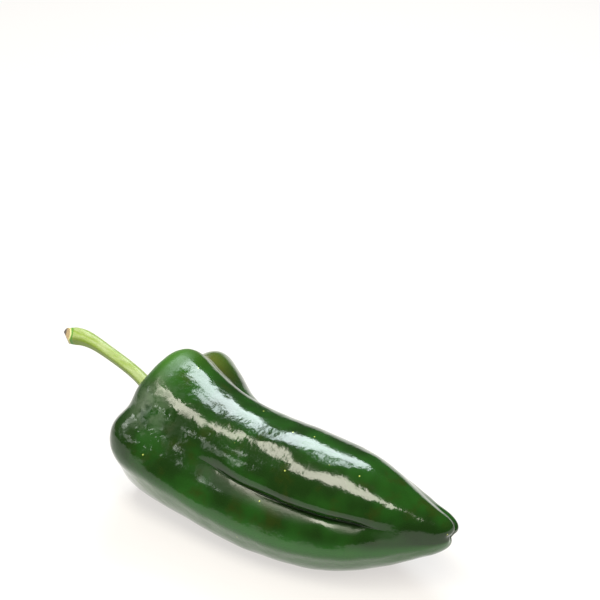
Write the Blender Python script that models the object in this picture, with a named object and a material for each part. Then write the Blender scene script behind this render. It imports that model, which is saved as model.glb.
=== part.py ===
"""Poblano pepper, as picked, lying on its side.

Two pieces: the pod, a tapering three-lobed fruit with a hollow round its stem, and the stem, which
spreads into the calyx that sits in that hollow.

The constants are in millimetres and degrees. The pod is first worked out along its own axis: X runs
from the stem to the tip, and an angle round it is 0 at the top and 90 at the front. It is then bent,
pitched down to the tip and set on the surface, with the origin under the middle of the object.
The meshes are in metres, +Z up.
"""
import bmesh
import bpy
import numpy as np

MM = 0.001

POD_LENGTH = 134.0
POD_PITCH = 6.8            # how far the axis runs downhill to the tip
BEND_BACK = (2.7, 12.5)    # how far the tip curves to the back, by the square and the cube of the way
BEND_UP = (4.2, 4.6)       # and how far it curves up again
REST_DEPTH = 1.0           # how far the lobes are pressed flat where they rest
CLEARANCE = 0.35           # gap between the calyx and the floor of the hollow

# Half outline of the pod without its lobes: the cage of a smooth curve, as places along the axis and
# distances from it. It starts in the middle of the hollow, climbs its wall, goes over the shoulder,
# along the waist and the belly, and ends in the dimple of the tip.
HOLLOW = ((9.0, 0.0), (9.0, 6.9), (6.5, 12.9), (-1.0, 17.5))
SHOULDER = ((-2.5, 28.0), (5.0, 35.7), (19.0, 31.3))
BODY = ((35.0, 26.6), (51.0, 25.8), (67.0, 26.3), (83.0, 25.8), (98.0, 24.1), (112.0, 18.7))
TIP = ((123.5, 12.4), (132.0, 8.2), (136.5, 4.2), (135.5, 0.0))
HALF_OUTLINE = HOLLOW + SHOULDER + BODY + TIP

# The lobes and the grooves between them. Each angle, swell and depth is given at ten even stations of
# the outline: 0 hollow, 1 its wall, 2 rim, 3 shoulder, 4 and 5 waist, 6 belly, 7 and 8 taper, 9 tip.
# Swell and depth are shares of the radius. Rise carries the rim towards the stem, and drop lets it
# fall back in a groove. Cleft is how far a groove cuts into the end of the tip.
LOBES = {
    "top": {
        "angle": (10, 10, 10, 12, 12, 12, 12, 16, 20, 20),
        "swell": (0.0, 0.0, -0.06, -0.09, -0.07, -0.02, 0.03, 0.03, 0.03, 0.02),
        "width": 42, "rise": -4.0,
    },
    "front": {
        "angle": (114, 114, 114, 116, 120, 123, 126, 130, 140, 140),
        "swell": (-0.20, -0.26, -0.30, -0.27, 0.12, 0.11, 0.05, 0.11, 0.03, -0.06),
        "width": 46, "rise": -1.0,
    },
    "back": {
        "angle": (-84, -84, -84, -86, -98, -108, -108, -98, -85, -85),
        "swell": (0.05, 0.13, 0.24, 0.31, 0.09, -0.06, -0.11, -0.11, 0.0, 0.12),
        "width": 44, "rise": 0.0,
    },
}
GROOVES = {
    "top_front": {
        "angle": (42, 42, 44, 49, 59, 64, 66, 66, 64, 60),
        "depth": (0.0, 0.10, 0.18, 0.17, 0.12, 0.10, 0.09, 0.06, -0.02, 0.02),
        "width": 20, "drop": 1.0, "cleft": 0.8,
    },
    "top_back": {
        "angle": (-46, -46, -46, -47, -53, -56, -52, -32, -24, -34),
        "depth": (0.0, 0.10, 0.19, 0.18, 0.12, 0.05, 0.02, 0.05, 0.14, 0.20),
        "width": 15, "drop": 4.6, "cleft": 3.0,
    },
    "front_back": {
        "angle": (185, 185, 185, 185, 185, 185, 190, 200, 218, 226),
        "depth": (0.0, 0.08, 0.14, 0.11, 0.11, 0.14, 0.16, 0.15, 0.20, 0.22),
        "width": 30, "drop": 4.2, "cleft": 2.2,
    },
}
RIM_WIDTH = 13.0           # how far along the axis the rise and drop of the rim reach
RIM_FROM = 16.0            # radius inside which the rim doesn't move
DIMPLE_DEPTH = 1.8
DIMPLE_RADIUS = 1.8
CLEFT_RADIUS = 3.0         # how far from the dimple the clefts are deepest
CLEFT_WIDTH = 2.5

# The fold where the top lobe hangs over the front lobe: its line, as places along the axis and angles,
# and its depth, with how far round it reaches on the overhanging side and under it
FOLD_ALONG = (45.0, 60.0, 80.0, 98.0, 118.0)
FOLD_ANGLE = (58.0, 63.0, 65.0, 65.0, 63.0)
FOLD_DEPTH = 4.0
FOLD_OVER = 6.0
FOLD_UNDER = 15.0
FOLD_FROM = 70.0           # where the fold is at its full depth, and to where
FOLD_TO = 104.0
FOLD_IN = 20.0             # how gently it begins, and how it dies out towards the tip
FOLD_AWAY = 7.0
FOLD_LIP = 0.35            # swell of the lobe above the fold, as a share of the depth
FOLD_LIP_AWAY = 17.0
FOLD_LIP_WIDTH = 13.0

# The stem: points that its middle line runs near, from the cut end to the floor of the hollow, in the
# frame of the pod once it is set down, and its radius at even stations on the way
STEM_LINE = (
    (-50.0, 6.0, 47.2), (-45.8, 6.0, 48.2), (-41.5, 6.0, 49.3), (-34.7, 6.0, 48.8), (-27.4, 6.0, 46.9),
    (-18.8, 5.6, 45.0), (-8.0, 4.4, 42.9), (0.5, 2.4, 39.4), (5.5, 0.8, 35.0),
)
STEM_RADIUS = (3.1, 3.3, 3.5, 3.35, 3.1, 2.75, 2.5, 2.45, 2.4, 2.35, 2.4, 2.5, 2.9, 3.6, 4.4)
STEM_RIB = 0.05            # height of its five ribs, as a share of the radius
STEM_RIBS = 5
CALYX_REACH = 0.152        # how far out on the hollow's outline the calyx ends
CALYX_POINT = 0.007        # and how much further its five points reach
CALYX_THICKNESS = 1.6

# Shares of the stem's globe, from the cut end to the middle of its underside: where the cut face ends,
# where the stem begins to spread, its foot, where the spreading ends, the middle and the edge of the
# calyx, and where its underside begins
CUT_END = 0.07
SPREAD = 0.50
STEM_FOOT = 0.62
BLEND_END = 0.68
CALYX_MIDDLE = 0.72
CALYX_RIM = 0.78
CALYX_UNDER = 0.82
CALYX_TOP = (4.5, 3.2, CALYX_THICKNESS, 1.0, 0.0)          # its height above the hollow at those places
CALYX_OUT = (0.22, 0.30, 1.0, 1.0, 0.0)                    # the share of its reach
RIB_FADE = 0.05                                            # length over which the ribs begin
EARLY = 0.35                                               # how much the rings crowd at both ends

POD_AROUND = 64
POD_RINGS = 48
STEM_AROUND = 30
STEM_RINGS = 44
CROWDING = 0.5             # how closely the columns of faces crowd at the fold
CROWDING_WIDTH = 38.0

SKIN_GREEN = (0.030, 0.095, 0.018, 1.0)
STEM_GREEN = (0.42, 0.58, 0.12, 1.0)


def bell(offset, width):
    """1 in the middle, falling smoothly to nothing at about twice the width."""
    return np.exp(-(offset / width) ** 2)


def wrap(angle):
    """The same turn, between -180 and 180."""
    return (angle + 180.0) % 360.0 - 180.0


def ease(value, low, high):
    """0 below low and 1 above high, with a smooth step between."""
    share = np.clip((value - low) / (high - low), 0.0, 1.0)
    return share * share * (3.0 - 2.0 * share)


def smooth(cage, share, ends):
    """Point at a share, 0 to 1, of the smooth curve that follows a cage of values or points.

    Ends says how the curve goes on past each end: level, as across a pole, or straight.
    """
    cage = np.asarray(cage, dtype=float)
    before, after = cage[1], cage[-2]
    if ends[0] == "straight":
        before = 2.0 * cage[0] - cage[1]
    if ends[1] == "straight":
        after = 2.0 * cage[-1] - cage[-2]
    rows = np.concatenate(([before], cage, [after]))
    place = np.asarray(share, dtype=float) * (len(cage) - 1)
    first = np.clip(np.floor(place).astype(int), 0, len(cage) - 2)
    u = place - first
    if cage.ndim > 1:
        u = u[..., None]
    near = (1.0 - u) ** 3 * rows[first] + (3.0 * u ** 3 - 6.0 * u ** 2 + 4.0) * rows[first + 1]
    far = (3.0 * u * (1.0 + u - u ** 2) + 1.0) * rows[first + 2] + u ** 3 * rows[first + 3]
    return (near + far) / 6.0


def fold_cut(along, angle):
    """How much lower the skin lies in the fold, in millimetres."""
    off = wrap(angle - np.interp(along, FOLD_ALONG, FOLD_ANGLE))
    width = np.where(off < 0.0, FOLD_OVER, FOLD_UNDER)
    depth = FOLD_DEPTH * bell(np.maximum(FOLD_FROM - along, 0.0), FOLD_IN)
    depth = depth * bell(np.maximum(along - FOLD_TO, 0.0), FOLD_AWAY)
    lip = FOLD_LIP * bell(off + FOLD_LIP_AWAY, FOLD_LIP_WIDTH)
    return depth * (np.exp(0.2 - np.hypot(off / width, 0.2)) - lip)


def pod_skin(share, angle):
    """Points of the pod's skin before it is set down, at shares of its outline and angles round it."""
    along = smooth([row[0] for row in HALF_OUTLINE], share, ("level", "level"))
    radius = smooth([row[1] for row in HALF_OUTLINE], share, ("straight", "straight"))
    rim = bell(along, RIM_WIDTH) * np.clip(radius / RIM_FROM, 0.0, 1.0) ** 2
    at_tip = ease(along, 0.8 * POD_LENGTH, 0.9 * POD_LENGTH)
    cleft = at_tip * np.clip(radius / CLEFT_RADIUS, 0.0, 1.0) ** 2
    cleft = cleft * bell(np.maximum(radius - CLEFT_RADIUS, 0.0), CLEFT_WIDTH)
    scale = np.ones_like(radius)
    shift = -DIMPLE_DEPTH * at_tip * bell(radius, DIMPLE_RADIUS)
    for lobe in LOBES.values():
        middle = smooth(lobe["angle"], share, ("level", "level"))
        crest = bell(wrap(angle - middle), lobe["width"])
        scale = scale + smooth(lobe["swell"], share, ("level", "level")) * crest
        shift = shift - lobe["rise"] * crest * rim
    for groove in GROOVES.values():
        middle = smooth(groove["angle"], share, ("level", "level"))
        cut = bell(wrap(angle - middle), groove["width"])
        scale = scale - smooth(groove["depth"], share, ("level", "level")) * cut
        shift = shift + cut * (groove["drop"] * rim - groove["cleft"] * cleft)
    out = radius * scale - fold_cut(along, angle)
    turn = np.radians(angle)
    way = np.clip(along / POD_LENGTH, 0.0, 1.1)
    x = along + shift
    y = BEND_BACK[0] * way ** 2 + BEND_BACK[1] * way ** 3 - out * np.sin(turn)
    z = BEND_UP[0] * way ** 2 + BEND_UP[1] * way ** 3 + out * np.cos(turn)
    pitch = np.radians(POD_PITCH)
    return np.stack((x * np.cos(pitch) + z * np.sin(pitch), y, z * np.cos(pitch) - x * np.sin(pitch)), -1)


def pod_grid(rings, around):
    """Even shares and angles over the whole pod, to measure it by."""
    share, angle = np.meshgrid(np.linspace(0.0, 1.0, rings), np.linspace(-180.0, 180.0, around), indexing="ij")
    return share, angle


REST_LEVEL = pod_skin(*pod_grid(161, 241))[..., 2].min() + REST_DEPTH


def pod_surface(share, angle):
    """Points of the pod's skin, resting on the surface, where its lowest lobes are pressed flat."""
    points = pod_skin(share, angle)
    points[..., 2] = np.maximum(points[..., 2] - REST_LEVEL, 0.0)
    return points


def hollow_floor(share, angle, height):
    """Points at a height above the skin of the hollow, measured square to it."""
    step = 0.002
    radial = pod_surface(share + step, angle) - pod_surface(np.maximum(share - step, 0.0), angle)
    round_it = pod_surface(share, angle + 1.0) - pod_surface(share, angle - 1.0)
    normal = np.cross(round_it, radial)
    length = np.linalg.norm(normal, axis=-1, keepdims=True)
    pitch = np.radians(POD_PITCH)
    middle = np.array((-np.cos(pitch), 0.0, np.sin(pitch)))
    normal = np.where(length > 1e-9, normal / np.maximum(length, 1e-9), middle)
    return pod_surface(share, angle) + normal * height[..., None]


def stem_tube(way, angle, radius):
    """Points at a radius round the stem's middle line, at a share of the way along it."""
    middle = smooth(STEM_LINE, way, ("straight", "straight"))
    ahead = smooth(STEM_LINE, np.clip(way + 0.01, 0.0, 1.0), ("straight", "straight"))
    behind = smooth(STEM_LINE, np.clip(way - 0.01, 0.0, 1.0), ("straight", "straight"))
    run = (ahead - behind) / np.linalg.norm(ahead - behind, axis=-1, keepdims=True)
    side = np.cross(np.array((0.0, 0.0, 1.0)), run)
    side = side / np.linalg.norm(side, axis=-1, keepdims=True)
    up = np.cross(run, side)
    turn = np.radians(angle)
    return middle + radius[..., None] * (up * np.cos(turn)[..., None] - side * np.sin(turn)[..., None])


def stem_surface(share, angle):
    """Points of the stem and calyx, from the middle of the cut end to the middle of the underside."""
    cut = np.clip(share / CUT_END, 0.0, 1.0)
    even = (share - CUT_END) / (STEM_FOOT - CUT_END)
    way = EARLY * ease(even, 0.0, 1.0) + (1.0 - EARLY) * np.clip(even, 0.0, 1.0)
    rib = np.cos(np.radians(STEM_RIBS * angle))
    ribbed = 1.0 + STEM_RIB * rib * ease(share, CUT_END, CUT_END + RIB_FADE)
    tube = stem_tube(way, angle, smooth(STEM_RADIUS, way, ("level", "level")) * cut * ribbed)
    out = np.interp(share, (SPREAD, STEM_FOOT, CALYX_RIM, CALYX_UNDER, 1.0), CALYX_OUT)
    thick = np.interp(share, (SPREAD, STEM_FOOT, CALYX_MIDDLE, CALYX_RIM, CALYX_UNDER), CALYX_TOP)
    calyx = hollow_floor(out * (CALYX_REACH + CALYX_POINT * rib), angle, CLEARANCE + thick)
    blend = ease(share, SPREAD, BLEND_END)[..., None]
    return tube * (1.0 - blend) + calyx * blend


def crowd(angle):
    """Draws the angles together at the fold, where the skin turns most sharply."""
    off = wrap(angle - FOLD_ANGLE[2])
    return angle - CROWDING * off * bell(off, CROWDING_WIDTH)


def body_from_globe(name, rings, around, surface, spacing, colour, roughness):
    """One closed body: a globe whose corners are moved on to a surface, pole to pole."""
    shape = bmesh.new()
    bmesh.ops.create_uvsphere(shape, u_segments=around, v_segments=rings, radius=1.0)
    corners = np.array([corner.co for corner in shape.verts])
    share = np.arccos(np.clip(corners[:, 2], -1.0, 1.0)) / np.pi
    angle = np.degrees(np.arctan2(corners[:, 1], corners[:, 0]))
    places = surface(share, spacing(angle)) * MM
    for corner, place in zip(shape.verts, places):
        corner.co = place
    bmesh.ops.reverse_faces(shape, faces=shape.faces)
    mesh = bpy.data.meshes.new(name)
    shape.to_mesh(mesh)
    shape.free()
    mesh.shade_smooth()
    material = bpy.data.materials.new(name + "_skin")
    material.use_nodes = True
    shader = material.node_tree.nodes["Principled BSDF"]
    shader.inputs["Base Color"].default_value = colour
    shader.inputs["Roughness"].default_value = roughness
    shader.inputs["Metallic"].default_value = 0.0
    mesh.materials.append(material)
    return bpy.data.objects.new(name, mesh)


def centre_on_origin(pieces):
    """Moves the meshes together, so that the origin is under the middle of their common box."""
    corners = np.array([corner.co for piece in pieces for corner in piece.data.vertices])
    middle = (corners.min(axis=0) + corners.max(axis=0)) / 2.0
    for piece in pieces:
        for corner in piece.data.vertices:
            corner.co.x -= middle[0]
            corner.co.y -= middle[1]


def build():
    for piece in list(bpy.data.objects):
        bpy.data.objects.remove(piece, do_unlink=True)
    collection = bpy.data.collections.new("poblano_pepper")
    bpy.context.scene.collection.children.link(collection)
    pod = body_from_globe("pod", POD_RINGS, POD_AROUND, pod_surface, crowd, SKIN_GREEN, 0.22)
    stem = body_from_globe("stem", STEM_RINGS, STEM_AROUND, stem_surface, wrap, STEM_GREEN, 0.5)
    for piece in (pod, stem):
        collection.objects.link(piece)
    centre_on_origin((pod, stem))


build()
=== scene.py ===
"""Poblano pepper, as picked, lying on its side: its looks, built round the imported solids."""
import math

import bpy
import numpy as np
from mathutils import Matrix, Vector


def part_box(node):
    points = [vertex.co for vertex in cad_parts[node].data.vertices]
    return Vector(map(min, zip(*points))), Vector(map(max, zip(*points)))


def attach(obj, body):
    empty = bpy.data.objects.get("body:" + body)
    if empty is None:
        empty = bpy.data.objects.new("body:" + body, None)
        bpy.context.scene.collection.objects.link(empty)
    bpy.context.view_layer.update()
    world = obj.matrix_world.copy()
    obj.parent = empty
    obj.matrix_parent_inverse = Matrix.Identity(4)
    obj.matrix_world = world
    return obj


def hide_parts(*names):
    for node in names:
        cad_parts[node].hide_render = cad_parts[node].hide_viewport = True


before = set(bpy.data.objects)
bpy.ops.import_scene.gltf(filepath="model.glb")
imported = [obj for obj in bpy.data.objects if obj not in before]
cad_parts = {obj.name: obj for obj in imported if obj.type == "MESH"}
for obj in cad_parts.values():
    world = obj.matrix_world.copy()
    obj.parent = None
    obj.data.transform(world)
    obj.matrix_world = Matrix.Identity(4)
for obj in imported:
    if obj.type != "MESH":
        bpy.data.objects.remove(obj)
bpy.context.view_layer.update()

# The pod: one fleshy fruit of three lobes that met along shallow grooves as it grew, with a hollow
# round the stem and a dimple at the tip. The top lobe hangs over the front one in a deep fold. Its
# sizes are in millimetres and degrees, in a frame that starts at the hollow.
MM = 0.001
POD_LENGTH = 134.0
POD_PITCH = 6.8            # how far the axis runs downhill to the tip
BEND_BACK = (2.7, 12.5)    # how far the tip curves to the back, by the square and the cube of the way
BEND_UP = (4.2, 4.6)       # and how far it curves up again
REST_DEPTH = 1.0           # how far the lobes are pressed flat where they rest

# Half outline without the lobes, as places along the axis and distances from it: the cage of a smooth
# curve from the middle of the hollow, over the shoulder, along the waist and belly, to the dimple
HALF_OUTLINE = (
    (9.0, 0.0), (9.0, 6.9), (6.5, 12.9), (-1.0, 17.5),
    (-2.5, 28.0), (5.0, 35.7), (19.0, 31.3),
    (35.0, 26.6), (51.0, 25.8), (67.0, 26.3), (83.0, 25.8), (98.0, 24.1), (112.0, 18.7),
    (123.5, 12.4), (132.0, 8.2), (136.5, 4.2), (135.5, 0.0),
)
# Lobes and grooves, at ten even stations of the outline from the hollow to the tip. An angle is 0 at
# the top and 90 at the front; a swell or a depth is a share of the radius. Rise carries the rim towards
# the stem, drop lets it fall back in a groove, and cleft is how far a groove cuts into the tip.
LOBES = {
    "top": {
        "angle": (10, 10, 10, 12, 12, 12, 12, 16, 20, 20),
        "swell": (0.0, 0.0, -0.06, -0.09, -0.07, -0.02, 0.03, 0.03, 0.03, 0.02),
        "width": 42, "rise": -4.0,
    },
    "front": {
        "angle": (114, 114, 114, 116, 120, 123, 126, 130, 140, 140),
        "swell": (-0.20, -0.26, -0.30, -0.27, 0.12, 0.11, 0.05, 0.11, 0.03, -0.06),
        "width": 46, "rise": -1.0,
    },
    "back": {
        "angle": (-84, -84, -84, -86, -98, -108, -108, -98, -85, -85),
        "swell": (0.05, 0.13, 0.24, 0.31, 0.09, -0.06, -0.11, -0.11, 0.0, 0.12),
        "width": 44, "rise": 0.0,
    },
    "front_edge": {
        "angle": (90, 90, 90, 90, 92, 99, 100, 102, 96, 84),
        "swell": (0.0, 0.0, 0.0, 0.02, 0.045, 0.046, 0.046, 0.046, 0.03, 0.0),
        "width": 9, "rise": 0.0,
    },
}
GROOVES = {
    "top_front": {
        "angle": (42, 42, 44, 49, 59, 64, 66, 66, 64, 60),
        "depth": (0.0, 0.10, 0.18, 0.17, 0.12, 0.10, 0.09, 0.06, -0.02, 0.02),
        "width": 20, "drop": 1.0, "cleft": 0.8,
    },
    "top_back": {
        "angle": (-46, -46, -46, -47, -53, -56, -52, -32, -24, -34),
        "depth": (0.0, 0.10, 0.19, 0.18, 0.12, 0.05, 0.02, 0.05, 0.14, 0.20),
        "width": 15, "drop": 4.6, "cleft": 3.0,
    },
    "front_back": {
        "angle": (185, 185, 185, 185, 185, 185, 190, 200, 218, 226),
        "depth": (0.0, 0.08, 0.14, 0.11, 0.11, 0.14, 0.16, 0.15, 0.20, 0.22),
        "width": 30, "drop": 4.2, "cleft": 2.2,
    },
}
RIM_WIDTH = 13.0           # how far along the axis the rise and drop of the rim reach
RIM_FROM = 16.0            # radius inside which the rim doesn't move
TIP_FROM = (107.2, 120.6)  # where the dimple and the clefts of the tip begin, in a smooth step
DIMPLE_DEPTH = 1.8
DIMPLE_RADIUS = 1.8
CLEFT_RADIUS = 3.0         # how far from the dimple the clefts are deepest
CLEFT_WIDTH = 2.5

# The fold: its line, as places along the axis and angles, and its depth at places along the axis, with
# how far round it reaches on the overhanging side and, at the same places, under it
FOLD_ALONG = (45.0, 60.0, 80.0, 98.0, 118.0)
FOLD_ANGLE = (58.0, 63.0, 65.0, 65.0, 63.0)
FOLD_PLACES = (36.0, 46.0, 58.0, 72.0, 86.0, 98.0, 106.0, 111.0, 117.0)
FOLD_DEPTH = (0.0, 0.7, 1.6, 2.6, 3.8, 4.4, 4.2, 1.6, 0.0)
FOLD_OVER = 3.4
FOLD_UNDER = (5.0, 5.0, 5.0, 6.0, 8.0, 11.0, 11.0, 9.0, 9.0)
FOLD_SOFT = 0.1            # how softly the bottom of the fold is rounded
FOLD_LIP = 0.18            # swell of the lobe above the fold, as a share of the depth
FOLD_LIP_AWAY = 9.5
FOLD_LIP_WIDTH = 6.5

POD_AROUND = 380           # faces round the pod and along it, and how closely they crowd at the fold
POD_RINGS = 250
CROWDING = 0.5
CROWDING_WIDTH = 38.0
SOLID_AROUND = 64          # the same for the solid, whose lowest corner tells where the pod lies
SOLID_RINGS = 48
MEASURED_AROUND = 241      # and for finding the lowest point of the skin
MEASURED_RINGS = 161
# In metres: how close two corners are that become one, and the ripples of the skin, whose seed is how
# far off the middle of the pattern lies
SEAM = 0.000002
WIDE_RIPPLE = {"size": 0.014, "height": 0.0007, "seed": 0.31}
FINE_RIPPLE = {"size": 0.005, "height": 0.00012, "seed": 0.77}


def bell(offset, width):
    """1 in the middle, falling smoothly to nothing at about twice the width."""
    return np.exp(-(offset / width) ** 2)


def wrap(angle):
    """The same turn, between -180 and 180."""
    return (angle + 180.0) % 360.0 - 180.0


def near(value, middle, width):
    """1 where a value is at the middle, falling smoothly away on both sides."""
    return bell(value - middle, width)


def facing(angle, middle, width):
    """1 where an angle is at the middle, falling smoothly away on both sides round the piece."""
    return bell(wrap(angle - middle), width)


def ease(value, low, high):
    """0 at low and 1 at high, with a smooth step between, whichever of the two is greater."""
    share = np.clip((value - low) / (high - low), 0.0, 1.0)
    return share * share * (3.0 - 2.0 * share)


def smooth(cage, share, ends):
    """Point at a share, 0 to 1, of the smooth curve that follows a cage of values or points."""
    cage = np.asarray(cage, dtype=float)
    before, after = cage[1], cage[-2]
    if ends == "straight":
        before, after = 2.0 * cage[0] - cage[1], 2.0 * cage[-1] - cage[-2]
    rows = np.concatenate(([before], cage, [after]))
    place = np.asarray(share, dtype=float) * (len(cage) - 1)
    first = np.clip(np.floor(place).astype(int), 0, len(cage) - 2)
    u = place - first
    if cage.ndim > 1:
        u = u[..., None]
    start = (1.0 - u) ** 3 * rows[first] + (3.0 * u ** 3 - 6.0 * u ** 2 + 4.0) * rows[first + 1]
    end = (3.0 * u * (1.0 + u - u ** 2) + 1.0) * rows[first + 2] + u ** 3 * rows[first + 3]
    return (start + end) / 6.0


def outline(share):
    """Places along the axis, and distances from it, at shares of the half outline."""
    along = smooth([row[0] for row in HALF_OUTLINE], share, "level")
    radius = smooth([row[1] for row in HALF_OUTLINE], share, "straight")
    return along, radius


def from_fold(along, angle):
    """Degrees round the pod from the bottom of the fold, and the depth of the fold there."""
    off = wrap(angle - np.interp(along, FOLD_ALONG, FOLD_ANGLE))
    return off, np.interp(along, FOLD_PLACES, FOLD_DEPTH)


def fold_cut(along, angle):
    """How much lower the skin lies in the fold, in millimetres."""
    off, depth = from_fold(along, angle)
    width = np.where(off < 0.0, FOLD_OVER, np.interp(along, FOLD_PLACES, FOLD_UNDER))
    lip = FOLD_LIP * near(off, -FOLD_LIP_AWAY, FOLD_LIP_WIDTH)
    return depth * (np.exp(FOLD_SOFT - np.hypot(off / width, FOLD_SOFT)) - lip)


def groove_cut(name, share, angle):
    """How far into the named groove an angle is: 1 at its bottom and 0 away from it."""
    groove = GROOVES[name]
    return facing(angle, smooth(groove["angle"], share, "level"), groove["width"])


def pod_skin(share, angle):
    """Points of the skin before the pod is set down, at shares of its outline and angles round it."""
    along, radius = outline(share)
    rim = bell(along, RIM_WIDTH) * np.clip(radius / RIM_FROM, 0.0, 1.0) ** 2
    at_tip = ease(along, *TIP_FROM)
    cleft = at_tip * np.clip(radius / CLEFT_RADIUS, 0.0, 1.0) ** 2
    cleft = cleft * bell(np.maximum(radius - CLEFT_RADIUS, 0.0), CLEFT_WIDTH)
    scale = np.ones_like(radius)
    shift = -DIMPLE_DEPTH * at_tip * bell(radius, DIMPLE_RADIUS)
    for lobe in LOBES.values():
        crest = facing(angle, smooth(lobe["angle"], share, "level"), lobe["width"])
        scale = scale + smooth(lobe["swell"], share, "level") * crest
        shift = shift - lobe["rise"] * crest * rim
    for name, groove in GROOVES.items():
        cut = groove_cut(name, share, angle)
        scale = scale - smooth(groove["depth"], share, "level") * cut
        shift = shift + cut * (groove["drop"] * rim - groove["cleft"] * cleft)
    out = radius * scale - fold_cut(along, angle)
    turn = np.radians(angle)
    way = np.maximum(along / POD_LENGTH, 0.0)
    x = along + shift
    y = BEND_BACK[0] * way ** 2 + BEND_BACK[1] * way ** 3 - out * np.sin(turn)
    z = BEND_UP[0] * way ** 2 + BEND_UP[1] * way ** 3 + out * np.cos(turn)
    cosine, sine = np.cos(np.radians(POD_PITCH)), np.sin(np.radians(POD_PITCH))
    return np.stack((x * cosine + z * sine, y, z * cosine - x * sine), -1)


measured_share, measured_angle = np.meshgrid(
    np.linspace(0.0, 1.0, MEASURED_RINGS), np.linspace(-180.0, 180.0, MEASURED_AROUND), indexing="ij")
REST_LEVEL = pod_skin(measured_share, measured_angle)[..., 2].min() + REST_DEPTH


def pod_surface(share, angle):
    """Points of the skin, resting on the surface, where the lowest lobes are pressed flat."""
    points = pod_skin(share, angle)
    points[..., 2] = np.maximum(points[..., 2] - REST_LEVEL, 0.0)
    return points


def crowd(angle):
    """Draws the angles together at the fold, where the skin turns most sharply."""
    off = wrap(angle - FOLD_ANGLE[2])
    return angle - CROWDING * off * bell(off, CROWDING_WIDTH)


# The formula's own frame starts at the hollow, so its points are moved to where the solid lies
solid_share, solid_angle = np.meshgrid(
    np.arange(SOLID_RINGS + 1) / SOLID_RINGS,
    wrap(np.arange(SOLID_AROUND) * 360.0 / SOLID_AROUND), indexing="ij")
solid_points = pod_surface(solid_share, crowd(solid_angle)) * MM
TO_PLACE = np.array(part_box("pod")[0]) - solid_points.min(axis=(0, 1))


def set_attribute(piece, name, values):
    """Keeps one number for each corner of the mesh, for the material to read."""
    layer = piece.data.attributes.new(name, "FLOAT", "POINT")
    layer.data.foreach_set("value", np.asarray(values, dtype=np.float32))


def read_attribute(piece, name):
    """The numbers kept for the corners of a mesh."""
    values = np.empty(len(piece.data.vertices), dtype=np.float32)
    piece.data.attributes[name].data.foreach_get("value", values)
    return values.astype(float)


def rolled_up(name, rings, around, surface, spacing):
    """Adds a flat sheet and rolls it up over a surface, pole to pole, its seam and poles closed.

    Returns the piece, and for each corner its share of the outline and its angle.
    """
    bpy.ops.object.select_all(action="DESELECT")
    bpy.ops.mesh.primitive_grid_add(x_subdivisions=around, y_subdivisions=rings, size=2.0)
    piece = bpy.context.object
    piece.name = piece.data.name = name
    corners = np.empty(len(piece.data.vertices) * 3, dtype=np.float32)
    piece.data.vertices.foreach_get("co", corners)
    corners = corners.reshape(-1, 3).astype(float)
    share = (corners[:, 1] + 1.0) / 2.0
    angle = spacing(corners[:, 0] * 180.0)
    places = surface(share, angle) * MM + TO_PLACE
    piece.data.vertices.foreach_set("co", places.astype(np.float32).ravel())
    set_attribute(piece, "share", share)
    set_attribute(piece, "round_sine", np.sin(np.radians(angle)))
    set_attribute(piece, "round_cosine", np.cos(np.radians(angle)))
    bpy.ops.object.mode_set(mode="EDIT")
    bpy.ops.mesh.select_all(action="SELECT")
    bpy.ops.mesh.remove_doubles(threshold=SEAM)
    bpy.ops.object.mode_set(mode="OBJECT")
    bpy.ops.object.shade_smooth()
    sine, cosine = read_attribute(piece, "round_sine"), read_attribute(piece, "round_cosine")
    return piece, read_attribute(piece, "share"), np.degrees(np.arctan2(sine, cosine))


def ripple(piece, size, height, seed):
    """Soft unevenness of the skin: hollows and rises of one size, worked into the mesh."""
    clouds = bpy.data.textures.new(piece.name + "_ripple", "CLOUDS")
    clouds.noise_scale = size
    clouds.noise_depth = 1
    field = piece.modifiers.new("ripple", "DISPLACE")
    field.texture = clouds
    field.texture_coords = "OBJECT"
    marker = bpy.data.objects.new("ripple_centre", None)
    marker.location = (seed, 0.0, 0.0)
    bpy.context.scene.collection.objects.link(marker)
    field.texture_coords_object = marker
    field.mid_level = 0.5
    field.strength = height
    bpy.context.view_layer.update()
    bpy.ops.object.modifier_apply(modifier=field.name)
    bpy.data.objects.remove(marker)


pod, pod_share, pod_angle = rolled_up("pepper_pod", POD_RINGS, POD_AROUND, pod_surface, crowd)
ripple(pod, **WIDE_RIPPLE)
ripple(pod, **FINE_RIPPLE)

# Where the skin differs, as a middle and a width or as the two ends of a smooth step: along the axis,
# round it, or in degrees round it from the fold. The satin skin mirrors more softly than the rest.
SHOULDER_ALONG = (2.0, 14.0)
SHOULDER_RADIUS = (8.0, 22.0)
# The top and back crests of the shoulder are painted paler: partly their own yellower tone, partly painted
# light where the lamps fall on them.
TOP_CREST = (-16.0, 28.0)
BACK_CREST = (-92.0, 34.0)
BACK_CREST_SHARE = 0.8     # how pale the crest of the back lobe is beside the top one
TOP_SATIN_ALONG = (17.0, 9.0)
TOP_SATIN_ANGLE = (-5.0, 45.0)
LIP_SATIN = 0.9
LIP_SATIN_OFF = (7.0, 7.0)
LIP_SATIN_START = (38.0, 46.0)
LIP_SATIN_END = (124.0, 118.0)
LIP_GLOSS = ((0.9, 96.0, 4.5), (0.8, 111.5, 2.5))      # glossy spots under the fold, with a strength first
# The lower front side is painted a lighter green, standing in for light thrown up from the floor.
BELLY_START = (82.0, 100.0)
BELLY_END = (175.0, 145.0)
# Painted shade darkens the bottom of the fold; the next two say where it is darkest.
FOLD_SHADE_DEPTH = 2.5     # how deep the fold is where it is first at its darkest
FOLD_SHADE_OFF = (1.0, 3.0)
BACK_GROOVE_ALONG = (6.0, 12.0)
# HAZE_ANGLE and HAZE_SHARE place a grey haze painted on the front of the shoulder: a painted reflection.
HAZE_ANGLE = (37.0, 17.0)
DENT_ANGLE = (46.0, 34.0)
HAZE_SHARE = (0.34, 0.045)             # these three are shares of the outline
DENT_SHARE = (0.36, 0.075)
BELLY_SHARE = (0.25, 0.4)

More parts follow.
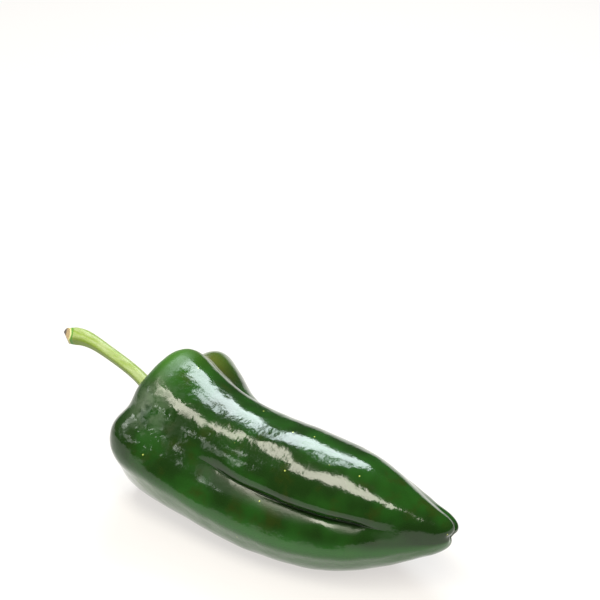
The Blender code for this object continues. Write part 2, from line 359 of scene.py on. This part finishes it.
pod_along, pod_radius = outline(pod_share)
fold_off, fold_depth = from_fold(pod_along, pod_angle)
set_attribute(pod, "shoulder", near(pod_along, *SHOULDER_ALONG) * ease(pod_radius, *SHOULDER_RADIUS))
lit_crests = facing(pod_angle, *TOP_CREST) + BACK_CREST_SHARE * facing(pod_angle, *BACK_CREST)
set_attribute(pod, "lit_crests", lit_crests)
top_satin = ease(pod_along, *TOP_SATIN_ALONG) * facing(pod_angle, *TOP_SATIN_ANGLE)
lip_satin = LIP_SATIN * near(fold_off, *LIP_SATIN_OFF)
lip_satin = lip_satin * ease(pod_along, *LIP_SATIN_START) * ease(pod_along, *LIP_SATIN_END)
for strength, middle, width in LIP_GLOSS:
    lip_satin = lip_satin * (1.0 - strength * near(pod_along, middle, width))
set_attribute(pod, "satin", np.maximum(top_satin, lip_satin))
set_attribute(pod, "painted_reflection", near(pod_share, *HAZE_SHARE) * facing(pod_angle, *HAZE_ANGLE))
set_attribute(pod, "dappled", near(pod_share, *DENT_SHARE) * facing(pod_angle, *DENT_ANGLE))
# painted light from the floor on the lower front side
belly = ease(pod_angle, *BELLY_START) * ease(pod_angle, *BELLY_END)
set_attribute(pod, "belly", belly * ease(pod_share, *BELLY_SHARE))
# painted shade along the bottom of the fold, where the lobe above shadows it
fold_shade = np.clip(fold_depth / FOLD_SHADE_DEPTH, 0.0, 1.0)
set_attribute(pod, "fold", fold_shade * near(fold_off, *FOLD_SHADE_OFF))
back_groove = groove_cut("top_back", pod_share, pod_angle)
set_attribute(pod, "back_groove", back_groove * near(pod_along, *BACK_GROOVE_ALONG))

DEEP_GREEN = (0.007, 0.025, 0.003, 1.0)
MID_GREEN = (0.010, 0.048, 0.005, 1.0)
OLIVE = (0.017, 0.028, 0.003, 1.0)
# the shoulder's own yellower green, partly painted light on its crests
SHOULDER_LIT_GREEN = (0.040, 0.13, 0.009, 1.0)
GROOVE_BROWN = (0.10, 0.10, 0.015, 1.0)
# painted shade in the bottom of the fold
FOLD_PAINTED_SHADE = (0.006, 0.016, 0.003, 1.0)
# painted light thrown up from the floor
BELLY_BOUNCE_LIGHT = (0.026, 0.110, 0.020, 1.0)
# painted reflection on the front of the shoulder
HAZE_REFLECTION_GREY = (0.17, 0.22, 0.15, 1.0)
SPECK_YELLOW = (0.45, 0.50, 0.12, 1.0)
GLOSSY, SATIN = 0.15, 0.42             # how rough the skin is
WAXED, UNWAXED = 0.55, 0.05            # how much of the clear wax it carries
# Patterns: cells a metre, detail and roughness, and then the two values between which a blotch fades in
BROAD = (60.0, 2.0, 0.5, 0.38, 0.66)
PATCHES = (95.0, 3.0, 0.6, 0.50, 0.72)
REFLECTION_VEIL = (130.0, 4.0, 0.7, 0.38, 0.56)
BLOOM = (170.0, 3.0, 0.6, 0.40, 0.60)
DENTS = (150.0, 2.0, 0.6)
STROKES = (1300.0, 2.0, 0.6)
PORES = (420.0, 2.0, 0.5)
SPECKS = 115.0
SPECK_RADIUS = (0.045, 0.03)           # in cells, at the speck's edge and at its full colour
COMB = (1.0, 0.35, 0.35)               # draws the finest strokes out round the pod
# Bumps: strength, and height in metres
DENT_BUMP = (1.0, 0.0009)
STROKE_BUMP = (0.3, 0.00008)
PORE_BUMP = (0.45, 0.0002)

skin = bpy.data.materials.new("poblano_skin")
skin.use_nodes = True
skin_tree = skin.node_tree
skin_shader = skin_tree.nodes["Principled BSDF"]
skin_shader.inputs["IOR"].default_value = 1.45
skin_shader.inputs["Specular IOR Level"].default_value = 0.3
skin_shader.inputs["Coat Roughness"].default_value = 0.10
skin_shader.inputs["Coat IOR"].default_value = 1.45


def add(tree, kind, **settings):
    """Adds a node. A setting names a property, or an input as in_ with its name or number."""
    node = tree.nodes.new(kind)
    for key, value in settings.items():
        if key.startswith("in_"):
            place = key[3:]
            node.inputs[int(place) if place.isdigit() else place.replace("_", " ")].default_value = value
        else:
            setattr(node, key, value)
    return node


def noise(tree, where, scale, detail, roughness):
    """A noise of a scale in cells a metre, on given coordinates. Returns its value."""
    node = add(tree, "ShaderNodeTexNoise", in_Scale=scale, in_Detail=detail, in_Roughness=roughness)
    tree.links.new(where, node.inputs["Vector"])
    return node.outputs["Fac"]


def span(tree, value, low, high, new_low=0.0, new_high=1.0):
    """Spreads a value that runs from low to high over a new range, with soft ends."""
    node = add(tree, "ShaderNodeMapRange", interpolation_type="SMOOTHSTEP",
               in_1=low, in_2=high, in_3=new_low, in_4=new_high)
    tree.links.new(value, node.inputs[0])
    return node.outputs[0]


def blotches(tree, where, scale, detail, roughness, low, high):
    """Soft blotches: a noise, spread out between two of its values."""
    return span(tree, noise(tree, where, scale, detail, roughness), low, high)


def feed(tree, part, place):
    """Links an output into an input, or sets the input to a plain value."""
    if hasattr(part, "is_output"):
        tree.links.new(part, place)
    else:
        place.default_value = part


def mix(tree, share, first, second):
    """Mixes two colours by a share. Each is a colour or an output."""
    node = add(tree, "ShaderNodeMix", data_type="RGBA")
    feed(tree, share, node.inputs[0])
    feed(tree, first, node.inputs[6])
    feed(tree, second, node.inputs[7])
    return node.outputs[2]


def combine(tree, operation, first, second):
    """Works one value out of two, each a number or an output."""
    node = add(tree, "ShaderNodeMath", operation=operation)
    feed(tree, first, node.inputs[0])
    feed(tree, second, node.inputs[1])
    return node.outputs[0]


def read(tree, name):
    """Reads one of the mesh's own attributes."""
    return add(tree, "ShaderNodeAttribute", attribute_name=name).outputs["Fac"]


def bump(tree, height, strength, distance, over=None):
    """Bumps as high as a distance in metres, over those of another bump. Returns the normal."""
    node = add(tree, "ShaderNodeBump", in_Strength=strength, in_Distance=distance)
    tree.links.new(height, node.inputs["Height"])
    if over is not None:
        tree.links.new(over, node.inputs["Normal"])
    return node.outputs[0]


def paint(tree, colour, coats):
    """Lays coats over a colour in turn. A coat is where it lies, how strong it is, and its colour."""
    for where, strength, shade in coats:
        colour = mix(tree, combine(tree, "MULTIPLY", where, strength), colour, shade)
    return colour


skin_place = add(skin_tree, "ShaderNodeTexCoord").outputs["Object"]
broad = blotches(skin_tree, skin_place, *BROAD)
# painted light on the shoulder's crests, over their own yellower tone
shoulder = combine(skin_tree, "MULTIPLY", read(skin_tree, "shoulder"), read(skin_tree, "lit_crests"))
# a painted reflection, in grey blotches on the front of the shoulder
reflection_veil = blotches(skin_tree, skin_place, *REFLECTION_VEIL)
reflection_veil = combine(skin_tree, "MULTIPLY", reflection_veil, read(skin_tree, "painted_reflection"))
specks = add(skin_tree, "ShaderNodeTexVoronoi", feature="F1", in_Scale=SPECKS)
skin_tree.links.new(skin_place, specks.inputs["Vector"])
skin_colour = paint(skin_tree, mix(skin_tree, broad, DEEP_GREEN, MID_GREEN), (
    (blotches(skin_tree, skin_place, *PATCHES), 0.7, OLIVE),
    (shoulder, 0.8, SHOULDER_LIT_GREEN),
    (read(skin_tree, "back_groove"), 0.6, GROOVE_BROWN),
    (read(skin_tree, "fold"), 0.85, FOLD_PAINTED_SHADE),
    (read(skin_tree, "belly"), 0.75, BELLY_BOUNCE_LIGHT),
    (reflection_veil, 0.36, HAZE_REFLECTION_GREY),
    (span(skin_tree, specks.outputs["Distance"], *SPECK_RADIUS), 0.8, SPECK_YELLOW),
))
skin_tree.links.new(skin_colour, skin_shader.inputs["Base Color"])

bloom = blotches(skin_tree, skin_place, *BLOOM)
bloom = combine(skin_tree, "MULTIPLY", bloom, read(skin_tree, "dappled"))
dull = combine(skin_tree, "MAXIMUM", read(skin_tree, "satin"), bloom)
skin_tree.links.new(span(skin_tree, dull, 0.0, 1.0, GLOSSY, SATIN), skin_shader.inputs["Roughness"])
skin_tree.links.new(span(skin_tree, dull, 0.0, 1.0, WAXED, UNWAXED), skin_shader.inputs["Coat Weight"])

combed = add(skin_tree, "ShaderNodeMapping", vector_type="POINT", in_Scale=COMB)
combed.inputs["Rotation"].default_value = (0.0, math.radians(-POD_PITCH), 0.0)
skin_tree.links.new(skin_place, combed.inputs["Vector"])
dents = noise(skin_tree, skin_place, *DENTS)
dents = combine(skin_tree, "MULTIPLY", dents, read(skin_tree, "dappled"))
strokes = noise(skin_tree, combed.outputs[0], *STROKES)
pores = noise(skin_tree, skin_place, *PORES)
skin_normal = bump(skin_tree, dents, *DENT_BUMP)
skin_normal = bump(skin_tree, strokes, *STROKE_BUMP, skin_normal)
skin_normal = bump(skin_tree, pores, *PORE_BUMP, skin_normal)
skin_tree.links.new(skin_normal, skin_shader.inputs["Normal"])
skin_tree.links.new(skin_normal, skin_shader.inputs["Coat Normal"])
pod.data.materials.append(skin)
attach(pod, "root")
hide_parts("pod")

# The stem: the woody stalk that carried the pod, ribbed, cut at its knobbed end, and spreading at the
# other into the calyx, a thin five-pointed crown that sits in the pod's hollow. It grew as one piece,
# and its sizes are in the pod's own frame, once the pod is set down.
STEM_LINE = (
    (-47.6, 3.2, 48.1), (-44.6, 4.6, 48.6), (-41.0, 5.6, 49.1), (-34.7, 6.0, 48.5), (-27.4, 6.0, 46.7),
    (-18.8, 5.6, 45.0), (-8.0, 4.4, 42.9), (0.5, 2.4, 39.4), (5.5, 0.8, 35.0),
)
STEM_RADIUS = (3.3, 3.5, 3.7, 3.6, 3.35, 3.0, 2.75, 2.65, 2.6, 2.6, 2.6, 2.65, 2.9, 3.6, 4.4)
STEM_RIB = 0.05            # height of its five ribs, as a share of the radius
STEM_RIBS = 5
CUT_FACING = np.array((-0.55, -0.82, 0.12))            # the way that the cut end faces
CUT_STEEPEST = 0.3         # how far the cut may turn from square, as the cosine of the angle
CUT_PINCH = 0.45           # how far the cut falls back above and below, and how far it stands out
CUT_OUT = 0.8
CUT_FADE = 0.2             # the share of the stem over which the slant of the cut fades
CALYX_GAP = 0.35           # between the calyx and the floor of the hollow
CALYX_REACH = 0.152        # how far out on the hollow's outline the calyx ends
CALYX_POINT = 0.007        # and how much further its five points reach
CALYX_THICKNESS = 1.6

# Shares of the stem's outline, from the middle of the cut end to the middle of its underside: where the
# cut face ends, where the stem begins to spread, its foot, where the spreading ends, the middle and the
# edge of the calyx, and where its underside begins
CUT_END = 0.07
SPREAD = 0.50
STEM_FOOT = 0.62
BLEND_END = 0.68
CALYX_MIDDLE = 0.72
CALYX_RIM = 0.78
CALYX_UNDER = 0.82
CALYX_TOP = (4.5, 3.2, CALYX_THICKNESS, 1.0, 0.0)      # its height above the hollow at five of those
CALYX_OUT = (0.22, 0.30, 1.0, 1.0, 0.0)                # and the share of its reach
RIB_FADE = 0.05                                        # length over which the ribs begin
EARLY = 0.35                                           # how much the rings crowd at both ends
STEM_AROUND = 160
STEM_RINGS = 300


def hollow_floor(share, angle, height):
    """Points at a height above the skin of the hollow, measured square to it."""
    share_step, angle_step, tiny = 0.002, 1.0, 1e-9
    behind = pod_surface(np.maximum(share - share_step, 0.0), angle)
    radial = pod_surface(share + share_step, angle) - behind
    round_it = pod_surface(share, angle + angle_step) - pod_surface(share, angle - angle_step)
    normal = np.cross(round_it, radial)
    length = np.linalg.norm(normal, axis=-1, keepdims=True)
    pitch = np.radians(POD_PITCH)
    middle = np.array((-np.cos(pitch), 0.0, np.sin(pitch)))
    normal = np.where(length > tiny, normal / np.maximum(length, tiny), middle)
    return pod_surface(share, angle) + normal * height[..., None]


def stem_tube(way, angle, radius):
    """Points at a radius round the stem's middle line, at a share of the way along it."""
    way_step = 0.01
    middle = smooth(STEM_LINE, way, "straight")
    ahead = smooth(STEM_LINE, np.clip(way + way_step, 0.0, 1.0), "straight")
    behind = smooth(STEM_LINE, np.clip(way - way_step, 0.0, 1.0), "straight")
    run = (ahead - behind) / np.linalg.norm(ahead - behind, axis=-1, keepdims=True)
    side = np.cross(np.array((0.0, 0.0, 1.0)), run)
    side = side / np.linalg.norm(side, axis=-1, keepdims=True)
    up = np.cross(run, side)
    turn = np.radians(angle)
    off = radius[..., None] * (up * np.cos(turn)[..., None] - side * np.sin(turn)[..., None])
    slant = (off @ CUT_FACING) / np.maximum(-(run @ CUT_FACING), CUT_STEEPEST)
    slant = slant + CUT_PINCH * np.abs(off[..., 2]) - CUT_OUT
    slant = slant * (1.0 - ease(way, 0.0, CUT_FADE))
    return middle + off + run * slant[..., None]


def stem_surface(share, angle):
    """Points of the stem and calyx, from the middle of the cut end to the middle of the underside."""
    cut = np.clip(share / CUT_END, 0.0, 1.0)
    even = (share - CUT_END) / (STEM_FOOT - CUT_END)
    way = EARLY * ease(even, 0.0, 1.0) + (1.0 - EARLY) * np.clip(even, 0.0, 1.0)
    rib = np.cos(np.radians(STEM_RIBS * angle))
    ribbed = 1.0 + STEM_RIB * rib * ease(share, CUT_END, CUT_END + RIB_FADE)
    tube = stem_tube(way, angle, smooth(STEM_RADIUS, way, "level") * cut * ribbed)
    out = np.interp(share, (SPREAD, STEM_FOOT, CALYX_RIM, CALYX_UNDER, 1.0), CALYX_OUT)
    thick = np.interp(share, (SPREAD, STEM_FOOT, CALYX_MIDDLE, CALYX_RIM, CALYX_UNDER), CALYX_TOP)
    calyx = hollow_floor(out * (CALYX_REACH + CALYX_POINT * rib), angle, CALYX_GAP + thick)
    blend = ease(share, SPREAD, BLEND_END)[..., None]
    return tube * (1.0 - blend) + calyx * blend


stem, stem_share, stem_angle = rolled_up("pepper_stem", STEM_RINGS, STEM_AROUND, stem_surface, wrap)

# Where the stem's colours lie. Those by the cut are shares of the outline past the end of its face, and
# one side of the face is a darker brown.
CUT_EDGE = (0.012, -0.005)
CREAM_RING = (0.010, 0.013)
GREEN_RING = (0.050, 0.020)
DARK_SIDE = -125.0         # the middle of the dark side, in degrees from the top
DARK_EDGE = (-0.25, 0.35)  # and how far across the face it fades
DARK_PAST = 0.004
CROWN_EDGE = (CALYX_RIM, 0.02)
UNDERSIDE = (62.0, 76.0)   # how far round from the top the stalk turns a deeper green: partly its own, partly painted shade

past_cut = stem_share - CUT_END
set_attribute(stem, "cut", ease(past_cut, *CUT_EDGE))
across_face = stem_share / CUT_END * np.cos(np.radians(stem_angle - DARK_SIDE))
set_attribute(stem, "darker_face_side", ease(across_face, *DARK_EDGE) * (past_cut < DARK_PAST))
set_attribute(stem, "cream", near(past_cut, *CREAM_RING))
set_attribute(stem, "ring", near(past_cut, *GREEN_RING))
set_attribute(stem, "crown", ease(stem_share, SPREAD, STEM_FOOT))
set_attribute(stem, "crown_edge", near(stem_share, *CROWN_EDGE))
set_attribute(stem, "under", ease(np.abs(wrap(stem_angle)), *UNDERSIDE))

STALK_GREEN = (0.155, 0.235, 0.014, 1.0)
STALK_PALE = (0.235, 0.30, 0.105, 1.0)
# painted shade darkens the stalk's lower side, over its own deeper green
STALK_SHADED_UNDER = (0.125, 0.195, 0.003, 1.0)
STALK_CREAM = (0.52, 0.50, 0.24, 1.0)
SCUFF_BROWN = (0.38, 0.30, 0.16, 1.0)
CROWN_GREEN = (0.10, 0.25, 0.018, 1.0)
RING_GREEN = (0.05, 0.20, 0.010, 1.0)
EDGE_BROWN = (0.09, 0.06, 0.02, 1.0)
CUT_TAN = (0.36, 0.25, 0.10, 1.0)
CUT_BROWN = (0.035, 0.018, 0.010, 1.0)
GRAIN = (700.0, 3.0, 0.6)              # cells a metre, detail and roughness
STREAKS = (0.30, 0.62)                 # between which values of the grain the pale streaks fade in
SCUFFS = (330.0, 3.0, 0.6, 0.60, 0.72)
GRAIN_STRETCH = (0.08, 1.0, 1.0)       # draws the grain out along the stalk
GRAIN_BUMP = (0.6, 0.00025)

stalk = bpy.data.materials.new("poblano_stem")
stalk.use_nodes = True
stalk_tree = stalk.node_tree
stalk_shader = stalk_tree.nodes["Principled BSDF"]
stalk_shader.inputs["Roughness"].default_value = 0.42
grain_place = add(stalk_tree, "ShaderNodeMapping", vector_type="POINT", in_Scale=GRAIN_STRETCH)
stalk_place = add(stalk_tree, "ShaderNodeTexCoord").outputs["Object"]
stalk_tree.links.new(stalk_place, grain_place.inputs["Vector"])
grain = noise(stalk_tree, grain_place.outputs[0], *GRAIN)
streaks = span(stalk_tree, grain, *STREAKS)
stalk_colour = paint(stalk_tree, mix(stalk_tree, streaks, STALK_GREEN, STALK_PALE), (
    (blotches(stalk_tree, grain_place.outputs[0], *SCUFFS), 0.6, SCUFF_BROWN),
    (read(stalk_tree, "under"), 0.85, STALK_SHADED_UNDER),
    (read(stalk_tree, "crown"), 1.0, CROWN_GREEN),
    (read(stalk_tree, "ring"), 1.0, RING_GREEN),
    (read(stalk_tree, "crown_edge"), 0.6, EDGE_BROWN),
    (read(stalk_tree, "cream"), 1.0, STALK_CREAM),
    (read(stalk_tree, "cut"), 1.0, CUT_TAN),
    (read(stalk_tree, "darker_face_side"), 1.0, CUT_BROWN),
))
stalk_tree.links.new(stalk_colour, stalk_shader.inputs["Base Color"])
stalk_tree.links.new(bump(stalk_tree, grain, *GRAIN_BUMP), stalk_shader.inputs["Normal"])
stem.data.materials.append(stalk)
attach(stem, "root")
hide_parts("stem")

# The floor: a plain pale studio sheet, far larger than the picture. It glows a little of itself, so that
# it shows nearly white without throwing back so much light that the pod's lower side turns grey.
FLOOR_RADIUS = 6.0         # in metres
FLOOR_DROP = 0.0001        # keeps the sheet just clear of the pod's flat spots
FLOOR_EDGES = 128
SHEET_GREY = (0.20, 0.20, 0.20, 1.0)
SHEET_GLOW = (1.0, 0.955, 0.93, 1.0)
bpy.ops.object.select_all(action="DESELECT")
bpy.ops.mesh.primitive_circle_add(
    vertices=FLOOR_EDGES, radius=FLOOR_RADIUS, fill_type="NGON", location=(0.0, 0.0, -FLOOR_DROP))
floor = bpy.context.object
floor.name = "studio_floor"
bpy.ops.object.transform_apply(location=True, rotation=True, scale=True)
sheet = bpy.data.materials.new("studio_sheet")
sheet.use_nodes = True
sheet_shader = sheet.node_tree.nodes["Principled BSDF"]
sheet_shader.inputs["Base Color"].default_value = SHEET_GREY
sheet_shader.inputs["Emission Color"].default_value = SHEET_GLOW
sheet_shader.inputs["Emission Strength"].default_value = 0.64
sheet_shader.inputs["Roughness"].default_value = 0.6
sheet_shader.inputs["Specular IOR Level"].default_value = 0.2
floor.data.materials.append(sheet)

# Soft studio light: a pale room that the skin mirrors only dimly, cool sheets of light over the back,
# warm strips of light over the front, and pale cards by the shoulder. Each lamp stands where the camera
# sees it mirrored in the skin, as a band or a spot that the photo shows.
ROOM_WHITE = (1.0, 0.99, 0.98, 1.0)
ROOM_BLUE = (0.8, 0.9, 1.0, 1.0)
ROOM_LIGHT = 0.5                       # how brightly the room lights, is mirrored and is seen
ROOM_MIRRORED = 0.05
ROOM_SEEN = 0.95
COOL = (0.86, 0.96, 1.0)
WARM = (1.0, 0.95, 0.82)
PALE = (0.96, 1.0, 0.95)
OVER_BACK = (-0.165, 0.586, 0.793)     # the way to a lamp from what it lights
OVERHEAD = (0.0, 0.0, 1.0)
IN_FRONT = (0.0, -1.0, 0.0)
BY_STEM = (-0.65, -0.53, 0.76)
# Name, place, way to the lamp, size, turn in radians, radiance and colour. Places and sizes in metres
LAMPS = (
    ("cool_softbox", (-0.236, 0.613, 0.788), OVER_BACK, (0.54, 0.31), 0.05, 14.0, COOL),
    ("cool_corner", (-0.455, 0.434, 0.874), OVER_BACK, (0.14, 0.08), 0.05, 13.0, COOL),
    ("cool_low", (-0.155, 0.390, 0.970), OVER_BACK, (0.16, 0.18), 0.05, 13.0, COOL),
    ("warm_right", (0.45, -0.33, 0.93), OVERHEAD, (1.00, 0.30), -0.20, 14.0, WARM),
    ("warm_middle", (-0.12, -0.33, 0.93), OVERHEAD, (0.18, 0.38), 0.0, 13.0, WARM),
    ("warm_left", (-0.36, -0.04, 0.93), OVERHEAD, (0.45, 0.13), -1.11, 14.0, WARM),
    ("shoulder_haze", (-0.090, -0.130, 0.092), IN_FRONT, (0.070, 0.040), 0.0, 2.6, PALE),
    ("shoulder_glint", (-0.043, -0.130, 0.112), IN_FRONT, (0.010, 0.018), 0.0, 9.0, PALE),
    ("shoulder_side", (-0.68, -0.56, 0.80), BY_STEM, (0.35, 0.31), -0.89, 8.0, PALE),
)

bpy.context.scene.view_settings.view_transform = "Standard"
room = bpy.data.worlds.new("studio_room")
bpy.context.scene.world = room
room.use_nodes = True
room_tree = room.node_tree
soft = room_tree.nodes["Background"]
soft.inputs["Color"].default_value = ROOM_WHITE
soft.inputs["Strength"].default_value = ROOM_LIGHT
mirrored = add(room_tree, "ShaderNodeBackground", in_Color=ROOM_BLUE, in_Strength=ROOM_MIRRORED)
seen = add(room_tree, "ShaderNodeBackground", in_Color=ROOM_WHITE, in_Strength=ROOM_SEEN)
rays = add(room_tree, "ShaderNodeLightPath")
look = soft.outputs[0]
for kind, light in (("Is Glossy Ray", mirrored), ("Is Camera Ray", seen)):
    choose = add(room_tree, "ShaderNodeMixShader")
    room_tree.links.new(rays.outputs[kind], choose.inputs[0])
    room_tree.links.new(look, choose.inputs[1])
    room_tree.links.new(light.outputs[0], choose.inputs[2])
    look = choose.outputs[0]
room_tree.links.new(look, room_tree.nodes["World Output"].inputs["Surface"])

for name, place, way_to_lamp, size, turn, radiance, colour in LAMPS:
    lamp = bpy.data.lights.new(name, "AREA")
    lamp.shape = "RECTANGLE"
    lamp.size, lamp.size_y = size
    lamp.energy = radiance * math.pi * size[0] * size[1]
    lamp.color = colour
    back = Vector(way_to_lamp).normalized()
    along = Vector((math.cos(turn), math.sin(turn), 0.0))
    along = (along - back * along.dot(back)).normalized()
    holder = bpy.data.objects.new(name, lamp)
    holder.matrix_world = Matrix((along, back.cross(along), back)).transposed().to_4x4()
    holder.location = place
    bpy.context.scene.collection.objects.link(holder)
    holder.visible_camera = False

# The camera: it stands where the photographer's did, above the front and towards the tip, with its angle
# and distance fitted to the pepper's outline in the photo.
CAMERA_LENS = 85.02
CAMERA_SENSOR = 36.0
CAMERA_PLACE = (0.334812, -0.344986, 0.361784)         # in metres, in the pod's own frame
CAMERA_DOWN = 30.2541      # how far down it looks, and how far round the pod it stands, in degrees
CAMERA_TURN = 36.7677
camera_data = bpy.data.cameras.new("camera")
camera_data.lens = CAMERA_LENS
camera_data.sensor_width = CAMERA_SENSOR
camera = bpy.data.objects.new("camera", camera_data)
camera.location = np.array(CAMERA_PLACE) + TO_PLACE
camera.rotation_euler = (math.radians(90.0 - CAMERA_DOWN), 0.0, math.radians(CAMERA_TURN))
bpy.context.scene.collection.objects.link(camera)
bpy.context.scene.camera = camera
